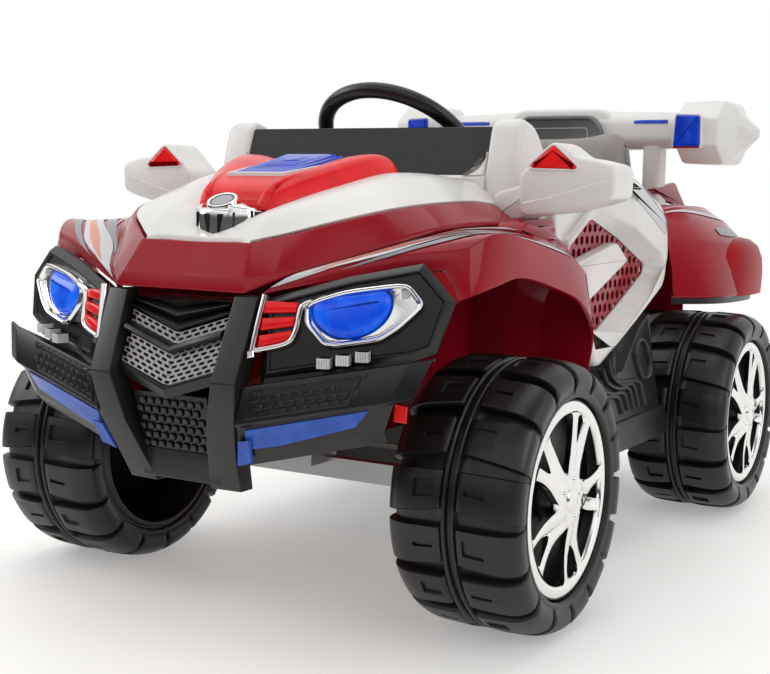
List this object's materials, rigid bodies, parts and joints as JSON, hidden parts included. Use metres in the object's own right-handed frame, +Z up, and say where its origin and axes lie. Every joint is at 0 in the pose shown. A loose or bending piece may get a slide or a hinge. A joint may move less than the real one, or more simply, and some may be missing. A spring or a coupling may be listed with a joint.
{
  "type": "electric ride-on car",
  "caption": "Child's battery ride-on buggy with steered front wheels, pedal, seat, side frames, windshield and rear light bar.",
  "frame": {"origin": "on the floor, midway between nose and tail and between the two sides", "axes": "+Z up, the nose points to -Y, the driver's left is +X"},
  "size_m": [0.766, 1.23, 0.664],
  "materials": {
    "red_gloss": "glossy crimson moulding",
    "white_gloss": "glossy warm white moulding",
    "black_plastic": "satin black moulding",
    "tyre_plastic": "brown-black blown plastic",
    "chrome": "bright plated plastic",
    "steel": "zinc-plated steel",
    "blue_lens": "clear blue lamp glass",
    "red_lens": "translucent red plastic",
    "dark_glass": "near-black smoked sheet",
    "seat_grey": "grey moulding",
    "silver_paint": "silver-grey paint"
  },
  "bodies": {
    "root": {"chassis_tub": "black_plastic", "rear_axle": "steel", "gearbox_left": "black_plastic", "gearbox_right": "black_plastic", "battery": "black_plastic", "front_axle_beam": "steel", "front_body": "red_gloss", "dashboard": "black_plastic", "seat": "seat_grey", "headrest_panel": "silver_paint", "hood_rim": "red_gloss", "hood_panel": "white_gloss", "emblem_block": "chrome", "dome_light": "red_lens", "dome_lens": "blue_lens", "windshield_cowl": "white_gloss", "windshield": "dark_glass", "front_fender_left": "red_gloss", "front_fender_right": "red_gloss", "mirror_left": "white_gloss", "mirror_right": "white_gloss", "front_mask_left": "black_plastic", "front_mask_right": "black_plastic", "headlight_bezel_left": "chrome", "headlight_bezel_right": "chrome", "headlight_lens_left": "blue_lens", "headlight_lens_right": "blue_lens", "bull_bar": "black_plastic", "grille_block": "black_plastic", "grille_mesh": "silver_paint", "side_mesh_left": "red_gloss", "side_mesh_right": "red_gloss", "side_frame_left": "white_gloss", "side_frame_right": "white_gloss", "rear_fender_left": "red_gloss", "rear_fender_right": "red_gloss", "rear_panel": "red_gloss", "rear_bumper": "black_plastic", "rear_bar": "white_gloss", "rear_lamp_glass_left": "blue_lens", "rear_lamp_glass_right": "blue_lens"},
    "steering": {"steering_wheel": "black_plastic", "steering_column": "steel"},
    "horn": {"horn_button": "red_lens"},
    "lower_shaft": {"steering_shaft": "steel"},
    "track_rod": {"tie_rod": "steel"},
    "steer_left": {"knuckle_left": "steel"},
    "steer_right": {"knuckle_right": "steel"},
    "front_left_wheel": {"wheel_front_left": "tyre_plastic", "hub_cap_front_left": "chrome"},
    "front_right_wheel": {"wheel_front_right": "tyre_plastic", "hub_cap_front_right": "chrome"},
    "rear_left_wheel": {"wheel_rear_left": "tyre_plastic", "hub_cap_rear_left": "chrome"},
    "rear_right_wheel": {"wheel_rear_right": "tyre_plastic", "hub_cap_rear_right": "chrome"},
    "pedal": {"accelerator_pedal": "black_plastic"},
    "start": {"start_button": "red_lens"},
    "direction_lever": {"gear_lever": "black_plastic"}
  },
  "joints": [
    {"name": "steering_turn", "type": "hinge", "parent": "root", "child": "steering", "pos_m": [0, -0.099, 0.571], "axis": [0, 0.6561, 0.7547], "range_deg": [-45, 45]},
    {"name": "lower_shaft_turn", "type": "hinge", "parent": "root", "child": "lower_shaft", "pos_m": [0, -0.30954, 0.3288], "axis": [0, 0, 1], "range_deg": [-45, 45]},
    {"name": "track_rod_slide", "type": "slide", "parent": "root", "child": "track_rod", "axis": [1, 0, 0], "range_m": [-0.0205, 0.0205]},
    {"name": "left_kingpin", "type": "hinge", "parent": "root", "child": "steer_left", "pos_m": [0.205, -0.34, 0.16], "axis": [0, 0, 1], "range_deg": [-20, 20]},
    {"name": "right_kingpin", "type": "hinge", "parent": "root", "child": "steer_right", "pos_m": [-0.205, -0.34, 0.16], "axis": [0, 0, 1], "range_deg": [-20, 20]},
    {"name": "front_left_wheel_spin", "type": "hinge", "parent": "steer_left", "child": "front_left_wheel", "pos_m": [0.302, -0.34, 0.16], "axis": [1, 0, 0], "continuous": true},
    {"name": "front_right_wheel_spin", "type": "hinge", "parent": "steer_right", "child": "front_right_wheel", "pos_m": [-0.302, -0.34, 0.16], "axis": [1, 0, 0], "continuous": true},
    {"name": "rear_left_wheel_spin", "type": "hinge", "parent": "root", "child": "rear_left_wheel", "pos_m": [0.293, 0.41, 0.16], "axis": [1, 0, 0], "continuous": true},
    {"name": "rear_right_wheel_spin", "type": "hinge", "parent": "root", "child": "rear_right_wheel", "pos_m": [-0.293, 0.41, 0.16], "axis": [1, 0, 0], "continuous": true},
    {"name": "horn_press", "type": "slide", "parent": "steering", "child": "horn", "axis": [0, -0.6561, -0.7547], "range_m": [0, 0.003], "stiffness_N_per_m": 400, "springref_m": -0.001},
    {"name": "start_press", "type": "slide", "parent": "root", "child": "start", "axis": [0, -0.6561, -0.7547], "range_m": [0, 0.003], "stiffness_N_per_m": 400, "springref_m": -0.001},
    {"name": "pedal_press", "type": "hinge", "parent": "root", "child": "pedal", "pos_m": [-0.085, -0.064, 0.136], "axis": [1, 0, 0], "range_deg": [0, 14], "stiffness_Nm_per_rad": 0.5, "springref_deg": -5.73},
    {"name": "direction_tilt", "type": "hinge", "parent": "root", "child": "direction_lever", "pos_m": [-0.15, -0.09703, 0.52755], "axis": [1, 0, 0], "range_deg": [-12, 12]}
  ],
  "couplings": [
    {"joint": "lower_shaft_turn", "follows": "steering_turn", "ratio": 1},
    {"joint": "left_kingpin", "follows": "steering_turn", "ratio": 0.44444},
    {"joint": "right_kingpin", "follows": "steering_turn", "ratio": 0.44444},
    {"joint": "track_rod_slide", "follows": "steering_turn", "m_per_rad": -0.025693}
  ]
}
